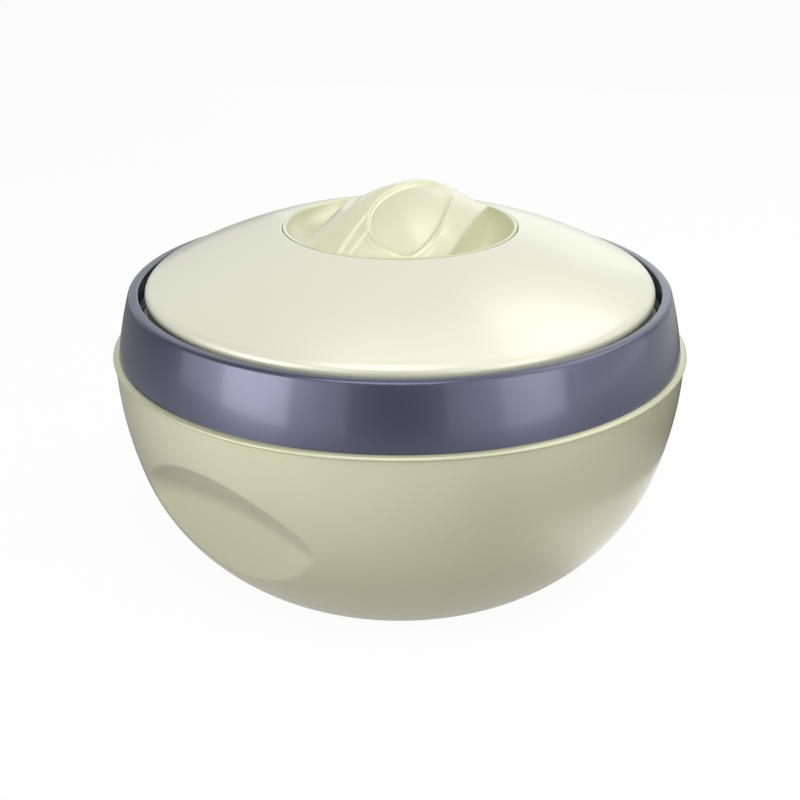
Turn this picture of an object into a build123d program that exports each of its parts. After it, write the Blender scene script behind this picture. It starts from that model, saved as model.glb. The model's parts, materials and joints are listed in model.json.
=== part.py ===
from build123d import *
import math
import os

# Thermal serving bowl: an insulated round bowl with a slate collar and a domed lid that lifts off.
# A swirled grip in the middle of the lid turns a cam, which slides two bolts under the collar's lip.
# The Z axis is the bowl's axis, the table is at z = 0 and the hand-holds lie along X. Millimetres.

# Outer bowl
rim_radius = 134.1            # outside of the wall at the rim
rim_height = 107.3            # middle of the rim bead
side_radius = 172.0           # arc of the upper wall
side_depth = 53.5             # how far the upper arc reaches below the rim
base_inset = 51.3             # from the rim's outside in to the base's edge
bowl_wall = 2.8
base_height = 1.2             # underside of the base
bead_reach = 1.0              # how far the bead stands out of the rim
bead_height = 2.0
bead_round = 0.8              # how far the bead's nose stands out of its flat sides

# Hand-holds
hold_depth = 16.7             # from the rim's outside in to the floor's upper corner
hold_drop = 39.3              # from the rim down to the same corner
hold_lean = 6.0               # degrees that the floor leans outward
hold_flare = 55.0             # degrees that the upper wall opens from the floor's normal
hold_sweep = 161.0            # radius of the upper wall's bend, seen along the floor's normal
hold_corner = 6.0             # round between floor and wall
hold_edge = 1.6               # round along the outer edge

# Collar
collar_step = 1.8             # the collar stands in from the rim
collar_draft = 6.2            # how far its outside leans in
collar_height = 28.4
collar_swell = 0.6            # how far the collar's outside bulges between its ends
lip_width = 4.5
lip_outer_round = 2.2
lip_inner_round = 0.9
collar_skin = 2.3
skirt_depth = 9.8             # reach of the collar into the outer bowl
mouth_depth = 16.4            # from the lip down to the shelf
shelf_thickness = 2.5
groove_depth = 3.6
groove_room = 1.0             # above and below a bolt

# Food liner, foam and base
liner_gap = 19.0              # from the outside of the bowl to the outside of the liner
liner_wall = 2.2
flange_thickness = 2.2
foot_inset = 14.8             # from the base's edge in to the middle of the foot ring
foot_width = 8.0
foot_recess = 1.0
plug_radius = 12.0
plug_stem_radius = 8.0
plug_thickness = 1.0

# Lid
lid_gap = 2.9                 # between the lid and the lip
lid_stand = 2.0               # from the lip's top up to the lid's edge
lid_edge_depth = 4.4          # from the lid's edge down to the skirt's step
lid_edge_round = 2.6
lid_wall = 2.2
lid_skirt_step = 0.7          # the skirt stands in from the lid's edge
well_radius = 54.5
dome_rise = 24.9              # from the lid's edge up to the well's rim
well_round = 1.1
gasket_height = 2.0
gasket_width = 4.4
pan_gap = 3.8                 # between the pan and the food liner
pan_depth = 12.0
pan_wall = 1.8
pan_round = 6.0

# Grip
grip_gap = 0.5                # between the grip and the well
dish_depth = 12.0
dish_wall = 2.2
dish_lip = 1.4
dish_slope = 18.0             # width of the dish's sloping side
dish_bend = (0.25, 0.3)       # pull of the dish's side inward and upward, in dish depths
under_bend = (0.6, 0.9)       # the same pull of its underside, in wall thicknesses
cup_gap = 2.9                 # between the dish and the cup under it
bar_angle = 23.6              # degrees from X to the bar, at rest
finger_room = 21.5            # from the bar's edge to the grip's outside
bar_height = 19.4             # crown above the well
bar_edge_rise = 1.2
bar_flare = 9.5               # spread of the bar's sides at the dish floor
bar_bulge = 4.3               # crown of the two slopes
ridge_twist = 12.0            # degrees between the ridge and the bar
ridge_width = 3.2
bar_stations = (-1.06, -0.8, -0.5, -0.2, 0.2, 0.5, 0.8, 1.06)   # loft sections, in grip radii
thumb_along = 38.6            # half length of a thumb hollow
thumb_across = 14.8           # half width
thumb_depth = 2.6             # of its floor under the slope
thumb_bowl = 12.0             # depth of the round bowl whose sides are the hollow's
thumb_place = (-16.1, -11.7)  # middle of the hollow, along the bar and aside
thumb_turn = -4.5             # degrees from the bar
thumb_reach = 1.35            # how far its tool passes the oval, in half widths
thumb_over = 1.1              # how far the floor's tool passes the bowl's
thumb_stations = (-1.15, -0.75, -0.35, 0.0, 0.35, 0.75, 1.15)   # loft sections, in half lengths
hub_radius = 14.0
shaft_radius = 9.0
tenon_width = 12.0

# Lock
turn_angle = 60.0             # degrees from open to locked
bolt_travel = 6.0
bolt_width = 14.0
bolt_height = 4.0
bolt_inner = 12.0             # inner end, from the axis
bolt_inset = 0.4              # tip behind the skirt's outside, when open
bolt_chamfer = 1.2
pin_radius = 2.5
pin_place = 18.0              # pin from the axis, when open
cam_radius = 36.0
cam_thickness = 3.0
cam_hub_radius = 13.0
cam_lift = 0.6                # between the bolts and the cam
carrier_thickness = 1.4
carrier_hole_radius = 12.0
rail_width = 3.0
rail_gap = 6.0                # between the cam and the rails
bridge_place = 28.0           # middle of the bridge, from the start of its rails
bridge_length = 12.0
bridge_thickness = 1.8
screw_inset = 16.0            # from the pan's outside in to a screw
screw_count = 4
screw_radius = 1.5
screw_head_radius = 3.0
screw_head_height = 2.0
screw_length = 9.0
boss_radius = 4.2
cam_screw_radius = 2.0
cam_screw_length = 10.0
cam_screw_head_radius = 4.5
cam_screw_head_height = 2.4
washer_radius = 8.0
washer_thickness = 0.9

# Clearances
seat_clearance = 0.3          # between pieces that don't run on each other
slide_clearance = 0.3         # beside and under the bolts
pin_clearance = 0.3           # of a pin in its slot
running_clearance = 0.1       # of the shaft in its bearing
thread_clearance = 0.1
cut_over = 1.0                # how far a cutting tool passes the face it cuts
touch = 0.02                  # what counts as touching, when edges are looked up

# Levels and radii that follow from the sizes above
seat_height = rim_height + bead_height / 2
lip_top = seat_height + collar_height
shelf_top = lip_top - mouth_depth
flange_top = shelf_top + flange_thickness
lid_flange_bottom = flange_top + gasket_height
carrier_bottom = lid_flange_bottom + pan_wall
carrier_top = carrier_bottom + carrier_thickness
bolt_bottom = carrier_top + slide_clearance
bolt_top = bolt_bottom + bolt_height
cam_bottom = bolt_top + cam_lift
lid_edge_height = lip_top + lid_stand
well_height = lid_edge_height + dome_rise
dish_floor = well_height - dish_depth
cup_floor = dish_floor - dish_wall - cup_gap
cup_underside = cup_floor - lid_wall
bead_radius = rim_radius + bead_reach
base_radius = rim_radius - base_inset
foot_radius = base_radius - foot_inset
collar_bottom_radius = rim_radius - collar_step
collar_top_radius = collar_bottom_radius - collar_draft
lip_radius = collar_top_radius - lip_width
flange_radius = lip_radius - seat_clearance
liner_radius = rim_radius - liner_gap
liner_floor = base_height + liner_gap
shelf_radius = liner_radius + seat_clearance
skirt_wall_radius = rim_radius - bowl_wall - seat_clearance
skirt_inner_radius = skirt_wall_radius - collar_skin
channel_radius = lip_radius + groove_depth + collar_skin
lid_radius = lip_radius - lid_gap
skirt_radius = lid_radius - lid_skirt_step
pan_radius = liner_radius - liner_wall - pan_gap
grip_radius = well_radius - grip_gap
bar_half_width = grip_radius - finger_room
rail_start = cam_radius + rail_gap
screw_place = pan_radius - screw_inset

# The wall's two arcs, which meet with one tangent; the lower one ends at the base's edge
side_turn = math.asin(side_depth / side_radius)
side_centre = (rim_radius - side_radius, rim_height)
side_end = (side_centre[0] + side_radius * math.cos(side_turn), rim_height - side_depth)
belly_span = (side_end[0] - base_radius, side_end[1] - base_height)
belly_radius = (belly_span[0] ** 2 + belly_span[1] ** 2) / (
    2 * (belly_span[0] * math.cos(side_turn) - belly_span[1] * math.sin(side_turn))
)
belly_centre = (
    side_end[0] - belly_radius * math.cos(side_turn),
    side_end[1] + belly_radius * math.sin(side_turn),
)

# Centre and radius of the lid's dome, through its edge and the well's rim
dome_centre = (
    (well_radius**2 + well_height**2 - lid_radius**2 - lid_edge_height**2)
    / (2 * (well_height - lid_edge_height))
)
dome_radius = math.hypot(lid_radius, lid_edge_height - dome_centre)


def wall_split(inset):
    return rim_height - (side_radius - inset) * math.sin(side_turn)


def wall_radius(z, inset=0.0):
    # Radius of the bowl's wall at height z, drawn in by inset
    centre, radius = belly_centre, belly_radius - inset
    if z >= wall_split(inset):
        centre, radius = side_centre, side_radius - inset
    return centre[0] + math.sqrt(radius**2 - (z - centre[1]) ** 2)


def dome_height(r, inset=0.0):
    return dome_centre + math.sqrt((dome_radius - inset) ** 2 - r**2)


def turned(edges):
    # Solid of revolution of a closed outline in radius and height
    return turned_face(make_face(edges))


def turned_face(face):
    return revolve(Plane.XZ * face, Axis.Z)


def ring(inner, outer, bottom, top):
    return turned(Polyline((inner, bottom), (outer, bottom), (outer, top), (inner, top), close=True))


def disc(radius, bottom, top):
    return Pos(0, 0, bottom) * Cylinder(radius, top - bottom, align=(Align.CENTER, Align.CENTER, Align.MIN))


def block(x_range, y_range, z_range):
    size = [high - low for low, high in (x_range, y_range, z_range)]
    middle = [(high + low) / 2 for low, high in (x_range, y_range, z_range)]
    return Pos(*middle) * Box(*size)


def rounded(face, corners):
    # Rounds the outline's corners nearest to the given points
    for point, radius in corners:
        vertex = face.vertices().sort_by_distance(Vector(point[0], point[1], 0))[0]
        face = fillet(vertex, radius)
    return face


def bowl_fill(inset, floor, top):
    # What fills the bowl's wall outline, drawn in by inset, from floor to top
    split = wall_split(inset)
    low = (floor + split) / 2
    high = (split + rim_height) / 2
    at_floor = (wall_radius(floor, inset), floor)
    at_split = (wall_radius(split, inset), split)
    at_rim = (rim_radius - inset, rim_height)
    edges = [
        Line((0, floor), at_floor),
        ThreePointArc(at_floor, (wall_radius(low, inset), low), at_split),
        ThreePointArc(at_split, (wall_radius(high, inset), high), at_rim),
        Line(at_rim, (at_rim[0], top)),
        Line((at_rim[0], top), (0, top)),
        Line((0, top), (0, floor)),
    ]
    return turned(edges)


def hold_cutters(grow):
    # Shallow cone frustums that scoop the hand-holds, enlarged all round by grow
    flare = math.radians(hold_flare)
    lean = math.radians(hold_lean)
    reach = hold_depth + bead_reach
    floor_sweep = hold_sweep + grow / math.cos(flare) - grow * math.tan(flare)
    outline = Polyline(
        (0, -grow),
        (floor_sweep, -grow),
        (floor_sweep + (reach + grow) * math.tan(flare), reach),
        (0, reach),
        close=True,
    )
    face = rounded(make_face(outline), [((floor_sweep, -grow), hold_corner + grow)])
    middle = (
        rim_radius - hold_depth - hold_sweep * math.sin(lean),
        0,
        rim_height - hold_drop - hold_sweep * math.cos(lean),
    )
    place = Plane(origin=middle, x_dir=(0, 1, 0), z_dir=(math.cos(lean), 0, -math.sin(lean)))
    cutter = place * turned_face(face)
    return [cutter, Rot(0, 0, 180) * cutter]


def hold_edges(shell):
    # Edges of the hand-holds that lie on the bowl's outside
    found = []
    for edge in shell.edges():
        size = edge.bounding_box().size
        spots = [edge.position_at(share) for share in (0.15, 0.5, 0.85)]
        on_wall = all(
            abs(math.hypot(spot.X, spot.Y) - wall_radius(min(spot.Z, rim_height))) < touch for spot in spots
        )
        if on_wall and size.Z > touch and size.Y > touch:
            found.append(edge)
    return found


def make_outer_bowl():
    shell = bowl_fill(0, base_height, seat_height)
    bead_low = rim_height - bead_height / 2
    nose = bead_radius - bead_round
    bead = turned([
        Line((rim_radius - bowl_wall, bead_low), (nose, bead_low)),
        ThreePointArc((nose, bead_low), (bead_radius, rim_height), (nose, seat_height)),
        Line((nose, seat_height), (rim_radius - bowl_wall, seat_height)),
        Line((rim_radius - bowl_wall, seat_height), (rim_radius - bowl_wall, bead_low)),
    ])
    cavity = bowl_fill(bowl_wall, base_height + bowl_wall, seat_height + cut_over)
    for cutter in hold_cutters(0):
        shell -= cutter
    shell = fillet(hold_edges(shell), hold_edge)
    for cutter in hold_cutters(bowl_wall):
        cavity -= cutter
    foot_half = foot_width / 2 + seat_clearance
    foot_seat = ring(
        foot_radius - foot_half, foot_radius + foot_half, base_height - cut_over, base_height + foot_recess
    )
    plug_seat = disc(plug_radius + seat_clearance, base_height - cut_over, base_height + plug_thickness)
    plug_hole = disc(plug_stem_radius + seat_clearance, base_height, base_height + bowl_wall + cut_over)
    return shell + bead - cavity - foot_seat - plug_seat - plug_hole


def make_collar_ring():
    mid_height = (seat_height + lip_top) / 2
    mid_radius = (collar_bottom_radius + collar_top_radius) / 2 + collar_swell
    groove_low = bolt_bottom - groove_room
    groove_high = bolt_top + groove_room
    channel_top = groove_low - collar_skin
    skirt_bottom = seat_height - skirt_depth
    edges = [
        ThreePointArc(
            (collar_bottom_radius, seat_height), (mid_radius, mid_height), (collar_top_radius, lip_top)
        ),
        Polyline(
            (collar_top_radius, lip_top),
            (lip_radius, lip_top),
            (lip_radius, groove_high),
            (lip_radius + groove_depth, groove_high),
            (lip_radius + groove_depth, groove_low),
            (lip_radius, groove_low),
            (lip_radius, shelf_top),
            (shelf_radius, shelf_top),
            (shelf_radius, shelf_top - shelf_thickness),
            (lip_radius + collar_skin, shelf_top - shelf_thickness),
            (lip_radius + collar_skin, channel_top),
            (channel_radius, channel_top),
            (skirt_inner_radius, seat_height),
            (skirt_inner_radius, skirt_bottom),
            (skirt_wall_radius, skirt_bottom),
            (skirt_wall_radius, seat_height),
            (collar_bottom_radius, seat_height),
        ),
    ]
    face = rounded(
        make_face(edges),
        [((collar_top_radius, lip_top), lip_outer_round), ((lip_radius, lip_top), lip_inner_round)],
    )
    return turned_face(face)


def make_inner_bowl():
    shell = bowl_fill(liner_gap, liner_floor, flange_top)
    flange = ring(liner_radius - liner_wall, flange_radius, shelf_top, flange_top)
    hollow = bowl_fill(liner_gap + liner_wall, liner_floor + liner_wall, flange_top + cut_over)
    return shell + flange - hollow


def make_bowl_insulation():
    foam_top = shelf_top - shelf_thickness - seat_clearance
    shell_gap = bowl_wall + seat_clearance
    foam = bowl_fill(shell_gap, base_height + shell_gap, foam_top)
    foam -= bowl_fill(liner_gap - seat_clearance, liner_floor - seat_clearance, foam_top + cut_over)
    for cutter in hold_cutters(shell_gap):
        foam -= cutter
    skirt_bottom = seat_height - skirt_depth - seat_clearance
    room_inner = min(skirt_inner_radius, channel_radius) - seat_clearance
    skirt_room = ring(room_inner, bead_radius, skirt_bottom, foam_top + cut_over)
    return foam - skirt_room


def make_foot_ring():
    half = foot_width / 2
    return ring(foot_radius - half, foot_radius + half, 0, base_height + foot_recess)


def make_fill_plug():
    cap = disc(plug_radius, base_height, base_height + plug_thickness)
    return cap + disc(plug_stem_radius, base_height, base_height + bowl_wall)


def make_lid_dome():
    edge = (lid_radius, lid_edge_height)
    rim = (well_radius, well_height)
    mid_radius = (lid_radius + well_radius) / 2
    skirt_inner = skirt_radius - lid_wall
    under_edge = lid_edge_height - lid_edge_depth
    cup_outer = well_radius + lid_wall
    inner_top = (cup_outer, dome_height(cup_outer, lid_wall))
    inner_end = (skirt_inner, dome_height(skirt_inner, lid_wall))
    bearing_radius = shaft_radius + running_clearance
    edges = [
        ThreePointArc(edge, (mid_radius, dome_height(mid_radius)), rim),
        Polyline(
            rim,
            (well_radius, cup_floor),
            (bearing_radius, cup_floor),
            (bearing_radius, cup_underside),
            (cup_outer, cup_underside),
            inner_top,
        ),
        ThreePointArc(inner_top, (mid_radius, dome_height(mid_radius, lid_wall)), inner_end),
        Polyline(
            inner_end,
            (skirt_inner, carrier_bottom),
            (skirt_radius, carrier_bottom),
            (skirt_radius, under_edge),
            (lid_radius, under_edge),
            edge,
        ),
    ]
    face = rounded(make_face(edges), [(edge, lid_edge_round), (rim, well_round)])
    dome = turned_face(face)
    half = bolt_width / 2 + slide_clearance
    window = block(
        (-lid_radius, lid_radius), (-half, half), (bolt_bottom - slide_clearance, bolt_top + slide_clearance)
    )
    return dome - (window & ring(skirt_inner - cut_over, lid_radius, carrier_bottom, lid_edge_height))


def screw_spots():
    return [Rot(0, 0, 360 * (i + 0.5) / screw_count) * Pos(screw_place, 0, 0) for i in range(screw_count)]


def make_lid_liner():
    floor = carrier_bottom - pan_depth
    outline = Polyline(
        (0, floor),
        (pan_radius, floor),
        (pan_radius, lid_flange_bottom),
        (skirt_radius, lid_flange_bottom),
        (skirt_radius, carrier_bottom),
        (pan_radius - pan_wall, carrier_bottom),
        (pan_radius - pan_wall, floor + pan_wall),
        (0, floor + pan_wall),
        close=True,
    )
    face = rounded(
        make_face(outline),
        [((pan_radius, floor), pan_round), ((pan_radius - pan_wall, floor + pan_wall), pan_round - pan_wall)],
    )
    pan = turned_face(face)
    for spot in screw_spots():
        pan += spot * disc(boss_radius, floor, carrier_bottom)
    for spot in screw_spots():
        pan -= spot * disc(screw_radius + thread_clearance, floor + pan_wall, carrier_bottom + cut_over)
    return pan


def make_lid_insulation():
    floor = carrier_bottom - pan_depth + pan_wall + seat_clearance
    top = carrier_bottom - seat_clearance
    radius = pan_radius - pan_wall - seat_clearance
    outline = Polyline((0, floor), (radius, floor), (radius, top), (0, top), close=True)
    foam = turned_face(rounded(make_face(outline), [((radius, floor), pan_round - pan_wall)]))
    for spot in screw_spots():
        foam -= spot * disc(boss_radius + seat_clearance, floor - cut_over, top + cut_over)
    return foam


def make_lid_gasket():
    outer = skirt_radius - seat_clearance
    return ring(outer - gasket_width, outer, flange_top, lid_flange_bottom)


def make_bolt_carrier():
    plate = disc(skirt_radius - lid_wall - seat_clearance, carrier_bottom, carrier_top)
    inner = bolt_width / 2 + slide_clearance
    rail_top = bolt_top + slide_clearance
    bridge_low = rail_start + bridge_place - bridge_length / 2
    bridge = (bridge_low, bridge_low + bridge_length)
    guides = []
    for side in (-1, 1):
        y_range = sorted((side * inner, side * (inner + rail_width)))
        guides.append(block((rail_start, pan_radius), y_range, (carrier_bottom, rail_top)))
    span = (-inner - rail_width, inner + rail_width)
    guides.append(block(bridge, span, (rail_top, rail_top + bridge_thickness)))
    for guide in guides:
        plate += guide
        plate += Rot(0, 0, 180) * guide
    plate -= disc(carrier_hole_radius, carrier_bottom - cut_over, carrier_top + cut_over)
    for spot in screw_spots():
        hole = disc(screw_radius + seat_clearance, carrier_bottom - cut_over, carrier_top + cut_over)
        plate -= spot * hole
    return plate


def make_carrier_screws():
    screw = disc(screw_radius, carrier_top - screw_length, carrier_top)
    head = disc(screw_head_radius, carrier_top, carrier_top + screw_head_height)
    return [spot * (screw + head) for spot in screw_spots()]


def bar_arch(along):
    # Share of the bar's full height left at this place along it
    return 1 - (along / grip_radius) ** 2


def ridge_edges(along):
    # Left and right edge of the flat ridge, which crosses the bar at a slant
    middle = -along * math.tan(math.radians(ridge_twist))
    return middle + ridge_width / 2, middle - ridge_width / 2


def bar_section(along, inset):
    # Section of the bar, drawn in by inset: side flares, two crowned slopes and the flat ridge
    arch = bar_arch(along)
    crown = well_height + bar_height * arch - inset
    edge = well_height + bar_edge_rise * arch - inset
    floor = dish_floor - dish_wall / 2 - 2 * inset
    half = bar_half_width - inset / 2
    foot = half + bar_flare - inset / 2
    flare_bend = bar_flare / 5
    left, right = ridge_edges(along)
    lift = 2 * bar_bulge * max(arch, 0)

    def slope(start, end):
        middle = ((start[0] + end[0]) / 2, (start[1] + end[1]) / 2 + lift)
        return Bezier(start, middle, end)

    edges = [
        Line((-foot, floor), (foot, floor)),
        Bezier((foot, floor), (half + flare_bend, floor + flare_bend), (half, edge)),
        slope((half, edge), (left, crown)),
        Line((left, crown), (right, crown)),
        slope((right, crown), (-half, edge)),
        Bezier((-half, edge), (-half - flare_bend, floor + flare_bend), (-foot, floor)),
    ]
    place = Plane(origin=(along, 0, 0), x_dir=(0, 1, 0), z_dir=(1, 0, 0))
    return place * make_face(edges)


def bar_loft(inset):
    bar = loft([bar_section(share * grip_radius, inset) for share in bar_stations])
    return bar & disc(grip_radius - inset, dish_floor - bar_height, well_height + 2 * bar_height)


def thumb_height(along, aside, depth, dip):
    # Height of the bar's right slope, lowered by depth; a dip of 1 brings it back along an oval
    arch = bar_arch(along)
    right = ridge_edges(along)[1]
    crown = well_height + bar_height * arch
    edge = well_height + bar_edge_rise * arch
    share = (right - aside) / (right + bar_half_width)
    slope = crown + (edge - crown) * share + 4 * bar_bulge * max(arch, 0) * share * (1 - share)
    turn = math.radians(thumb_turn)
    x, y = along - thumb_place[0], aside - thumb_place[1]
    across_share = (y * math.cos(turn) - x * math.sin(turn)) / thumb_across
    along_share = (x * math.cos(turn) + y * math.sin(turn)) / thumb_along
    return slope - depth * (1 - dip * (along_share**2 + across_share**2))


def thumb_section(along, reach, depth, dip):
    low = thumb_place[1] - reach * thumb_across
    high = thumb_place[1] + reach * thumb_across
    middle = (low + high) / 2
    start, mid, end = [thumb_height(along, aside, depth, dip) for aside in (low, middle, high)]
    top = well_height + (2 + reach) * bar_height
    edges = [
        Bezier((low, start), (middle, 2 * mid - (start + end) / 2), (high, end)),
        Polyline((high, end), (high, top), (low, top), (low, start)),
    ]
    place = Plane(origin=(along, 0, 0), x_dir=(0, 1, 0), z_dir=(1, 0, 0))
    return place * make_face(edges)


def thumb_cutters():
    # Tools that hollow the bar's slopes for a thumb, one on each side: a bowl with a floor along the slope
    bowl_ends = [thumb_place[0] + share * thumb_along for share in thumb_stations]
    floor_ends = [thumb_place[0] + share * thumb_along * thumb_over for share in thumb_stations]
    bowl = loft([thumb_section(along, thumb_reach, thumb_bowl, 1) for along in bowl_ends])
    floor = loft([thumb_section(along, thumb_reach * thumb_over, thumb_depth, 0) for along in floor_ends])
    cutter = bowl & floor
    return [cutter, Rot(0, 0, 180) * cutter]


def make_turn_grip():
    underside = dish_floor - dish_wall
    lip_low = well_height - 2 * dish_lip
    dish_floor_radius = grip_radius - dish_slope
    bend = (
        grip_radius - dish_lip - dish_depth * dish_bend[0],
        dish_floor + dish_depth * dish_bend[1],
    )
    low_bend = (bend[0] + dish_wall * under_bend[0], bend[1] - dish_wall * under_bend[1])
    dish = turned([
        Polyline((0, dish_floor), (0, underside), (dish_floor_radius, underside)),
        Bezier((dish_floor_radius, underside), low_bend, (grip_radius, lip_low)),
        Polyline((grip_radius, lip_low), (grip_radius, well_height), (grip_radius - dish_lip, well_height)),
        Bezier((grip_radius - dish_lip, well_height), bend, (dish_floor_radius, dish_floor)),
        Line((dish_floor_radius, dish_floor), (0, dish_floor)),
    ])
    bar = bar_loft(0)
    core = bar_loft(dish_wall)
    for cutter in thumb_cutters():
        bar -= cutter
        core -= Pos(0, 0, -dish_wall) * cutter
    hub_foot = disc(hub_radius, underside, dish_floor)
    hub = disc(hub_radius, underside, well_height + bar_height) & (bar + hub_foot)
    grip = dish + bar - core + hub
    shaft_low = cup_underside - slide_clearance
    grip += disc(shaft_radius, shaft_low, dish_floor)
    tenon_low = cam_bottom + cam_thickness / 2
    half = tenon_width / 2
    grip += block((-half, half), (-half, half), (tenon_low, dish_floor))
    grip -= disc(cam_screw_radius + thread_clearance, tenon_low - cut_over, cam_bottom + cam_screw_length)
    return Rot(0, 0, bar_angle) * grip


def make_grip_seal():
    low = cup_floor + seat_clearance
    half = (cup_gap - seat_clearance - running_clearance) / 2
    place = shaft_radius + running_clearance + half
    return Pos(0, 0, low + half) * Torus(place, half)


def spiral_slot():
    # Slot whose radius grows with the turn, so that a pin held on X is driven outward
    half = pin_radius + pin_clearance
    over = math.degrees(half / pin_place)
    pitch = bolt_travel / turn_angle
    slant = math.atan(math.degrees(pitch) / (pin_place + bolt_travel / 2))
    reach = half / math.cos(slant)

    def edge(side):
        points = []
        for step in range(7):
            angle = -over + (turn_angle + 2 * over) * step / 6
            radius = pin_place + pitch * angle + side * reach
            turn = math.radians(angle)
            points.append((radius * math.cos(turn), radius * math.sin(turn)))
        return points

    inner, outer = edge(-1), edge(1)
    outline = [Spline(*inner), Line(inner[-1], outer[-1]), Spline(*outer), Line(outer[0], inner[0])]
    return extrude(Pos(0, 0, cam_bottom - cut_over) * make_face(outline), cam_thickness + 2 * cut_over)


def make_cam_disc():
    hub_top = cup_underside - slide_clearance
    cam = disc(cam_radius, cam_bottom, cam_bottom + cam_thickness) + disc(cam_hub_radius, cam_bottom, hub_top)
    slot = spiral_slot()
    cam -= slot
    cam -= Rot(0, 0, 180) * slot
    half = tenon_width / 2 + running_clearance
    socket_low = cam_bottom + cam_thickness / 2
    socket = block((-half, half), (-half, half), (socket_low, hub_top + cut_over))
    cam -= Rot(0, 0, bar_angle) * socket
    return cam - disc(cam_screw_radius + seat_clearance, cam_bottom - cut_over, socket_low + cut_over)


def make_cam_washer():
    return ring(cam_screw_radius + seat_clearance, washer_radius, cam_bottom - washer_thickness, cam_bottom)


def make_cam_screw():
    top = cam_bottom + cam_screw_length - cut_over
    head_top = cam_bottom - washer_thickness
    head = disc(cam_screw_head_radius, head_top - cam_screw_head_height, head_top)
    return head + disc(cam_screw_radius, head_top, top)


def make_lock_bolt():
    tip = skirt_radius - bolt_inset
    half = bolt_width / 2
    bar = block((bolt_inner, tip), (-half, half), (bolt_bottom, bolt_top))
    bar = chamfer(bar.edges().filter_by(Axis.Y).group_by(Axis.X)[-1], bolt_chamfer)
    pin_top = cam_bottom + cam_thickness - slide_clearance
    return bar + Pos(pin_place, 0, 0) * disc(pin_radius, bolt_bottom, pin_top)


bolt = make_lock_bolt()
nodes = {
    "outer_bowl": make_outer_bowl(),
    "collar_ring": make_collar_ring(),
    "inner_bowl": make_inner_bowl(),
    "bowl_insulation": make_bowl_insulation(),
    "foot_ring": make_foot_ring(),
    "fill_plug": make_fill_plug(),
    "lid_dome": make_lid_dome(),
    "lid_liner": make_lid_liner(),
    "lid_insulation": make_lid_insulation(),
    "lid_gasket": make_lid_gasket(),
    "bolt_carrier": make_bolt_carrier(),
    "carrier_screws": Compound(children=make_carrier_screws()),
    "turn_grip": make_turn_grip(),
    "grip_seal": make_grip_seal(),
    "cam_disc": make_cam_disc(),
    "cam_washer": make_cam_washer(),
    "cam_screw": make_cam_screw(),
    "lock_bolt_right": bolt,
    "lock_bolt_left": Rot(0, 0, 180) * bolt,
}

os.makedirs("parts", exist_ok=True)
for name, shape in nodes.items():
    export_step(shape, os.path.join("parts", name + ".step"))
    print(name, round(shape.volume), len(shape.solids()))
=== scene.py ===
import json
import math
import bmesh
import bpy
import numpy as np
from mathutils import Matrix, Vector


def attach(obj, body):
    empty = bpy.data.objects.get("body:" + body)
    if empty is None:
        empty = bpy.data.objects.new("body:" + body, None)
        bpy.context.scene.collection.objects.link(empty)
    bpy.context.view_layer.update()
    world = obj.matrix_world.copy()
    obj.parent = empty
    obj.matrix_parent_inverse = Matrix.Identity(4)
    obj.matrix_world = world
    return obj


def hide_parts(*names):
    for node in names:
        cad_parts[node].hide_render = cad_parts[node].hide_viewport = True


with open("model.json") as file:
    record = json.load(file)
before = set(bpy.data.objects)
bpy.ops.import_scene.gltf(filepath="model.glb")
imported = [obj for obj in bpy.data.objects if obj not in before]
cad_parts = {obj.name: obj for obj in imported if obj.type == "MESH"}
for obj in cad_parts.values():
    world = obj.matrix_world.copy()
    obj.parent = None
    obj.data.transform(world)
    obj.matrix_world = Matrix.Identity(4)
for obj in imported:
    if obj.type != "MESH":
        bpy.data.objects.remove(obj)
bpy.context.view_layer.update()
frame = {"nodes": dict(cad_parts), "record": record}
scene = bpy.context.scene
nodes = frame["nodes"]
mm = 0.001  # shapes are written in millimetres, the scene is in metres
weldDistance = 0.00002  # vertices closer than this become one
print("frame loaded:", len(nodes), "nodes")


# Node groups that several finishes share

def startGroup(name, inputs, outputs):
    group = bpy.data.node_groups.new(name, "ShaderNodeTree")
    for label, kind, value in inputs:
        socket = group.interface.new_socket(name=label, in_out="INPUT", socket_type=kind)
        socket.default_value = value
    for label, kind in outputs:
        group.interface.new_socket(name=label, in_out="OUTPUT", socket_type=kind)
    enter = group.nodes.new("NodeGroupInput")
    leave = group.nodes.new("NodeGroupOutput")
    return group, enter.outputs, leave.inputs


def addNode(tree, kind, **settings):
    node = tree.nodes.new(kind)
    for key, value in settings.items():
        setattr(node, key, value)
    return node


def addNoise(tree, scale, detail, coords, stretch=None):
    # Noise over the object's own coordinates, in metres, so it moves with its piece
    if stretch:
        mapping = addNode(tree, "ShaderNodeMapping")
        mapping.inputs["Scale"].default_value = stretch
        tree.links.new(coords, mapping.inputs["Vector"])
        coords = mapping.outputs["Vector"]
    noise = addNode(tree, "ShaderNodeTexNoise")
    noise.inputs["Detail"].default_value = detail
    tree.links.new(coords, noise.inputs["Vector"])
    if isinstance(scale, (int, float)):
        noise.inputs["Scale"].default_value = scale
    else:
        tree.links.new(scale, noise.inputs["Scale"])
    return noise.outputs["Fac"]


def addMath(tree, operation, first, second):
    node = addNode(tree, "ShaderNodeMath", operation=operation)
    for socket, value in zip(node.inputs, (first, second)):
        if isinstance(value, (int, float)):
            socket.default_value = value
        else:
            tree.links.new(value, socket)
    return node.outputs[0]


def addRange(tree, value, low, high, toLow=0.0, toHigh=1.0):
    node = addNode(tree, "ShaderNodeMapRange", interpolation_type="SMOOTHSTEP")
    tree.links.new(value, node.inputs["Value"])
    for label, number in zip(("From Min", "From Max", "To Min", "To Max"), (low, high, toLow, toHigh)):
        if isinstance(number, (int, float)):
            node.inputs[label].default_value = number
        else:
            tree.links.new(number, node.inputs[label])
    return node.outputs["Result"]


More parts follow.
